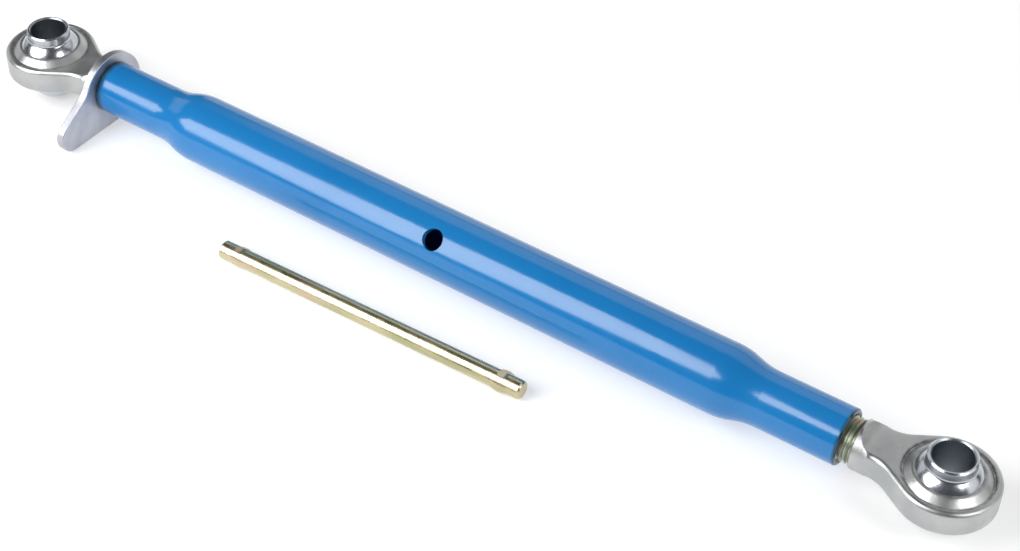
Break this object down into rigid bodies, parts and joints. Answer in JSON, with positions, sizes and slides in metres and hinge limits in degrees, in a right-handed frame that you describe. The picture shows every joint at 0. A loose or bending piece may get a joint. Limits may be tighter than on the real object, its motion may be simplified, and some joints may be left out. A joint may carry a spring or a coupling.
{
  "type": "tractor top link",
  "caption": "Adjustable turnbuckle link with a swivel ball eye at each end, a lock-nut lever and a loose tommy bar, for the top point of a tractor's three-point hitch.",
  "frame": {"origin": "centre of the left ball, on the axis of its pin bore", "axes": "+X along the link from the left ball (lever end) to the right ball, +Z along both pin bores and up as it lies, -Y towards the lever's tongue and the loose bar"},
  "size_m": [0.785, 0.1086, 0.056],
  "materials": {
    "zinc_forging": "satin clear zinc on a forging",
    "polished_ball": "polished, clear zinc",
    "yellow_zinc_thread": "yellow zinc, machined",
    "zinc_lever": "satin clear zinc on a flat plate",
    "blue_paint": "gloss blue enamel",
    "yellow_zinc_bar": "yellow zinc, drawn bar"
  },
  "bodies": {
    "left_end": {"left_eye": "zinc_forging", "left_stem": "yellow_zinc_thread"},
    "lock": {"lock_lever": "zinc_lever"},
    "barrel": {"tube": "blue_paint"},
    "right_end": {"right_eye": "zinc_forging", "right_stem": "yellow_zinc_thread"},
    "left_swivel": {"left_ball": "polished_ball"},
    "right_swivel": {"right_ball": "polished_ball"},
    "bar": {"tommy_bar": "yellow_zinc_bar"}
  },
  "joints": [
    {"name": "lock_travel", "type": "slide", "parent": "left_end", "child": "lock", "axis": [1, 0, 0], "range_m": [0, 0.129]},
    {"name": "tube_turn", "type": "hinge", "parent": "lock", "child": "barrel", "pos_m": [0.35815, 0, 0], "axis": [1, 0, 0], "range_deg": [0, 15480]},
    {"name": "right_end_travel", "type": "slide", "parent": "left_end", "child": "right_end", "axis": [1, 0, 0], "range_m": [0, 0.258]},
    {"name": "left_ball_tilt", "type": "hinge", "parent": "left_end", "child": "left_swivel", "pos_m": [0, 0, 0], "axis": [0, 1, 0], "range_deg": [-15, 15]},
    {"name": "right_ball_tilt", "type": "hinge", "parent": "right_end", "child": "right_swivel", "pos_m": [0.72, 0, 0], "axis": [1, 0, 0], "range_deg": [-15, 15]},
    {"name": "bar_lift", "type": "slide", "parent": "left_end", "child": "bar", "axis": [0, 0, 1], "range_m": [0, 0.15]}
  ],
  "couplings": [
    {"joint": "lock_travel", "follows": "tube_turn", "m_per_rad": 0.00047746},
    {"joint": "right_end_travel", "follows": "tube_turn", "m_per_rad": 0.00095493}
  ]
}
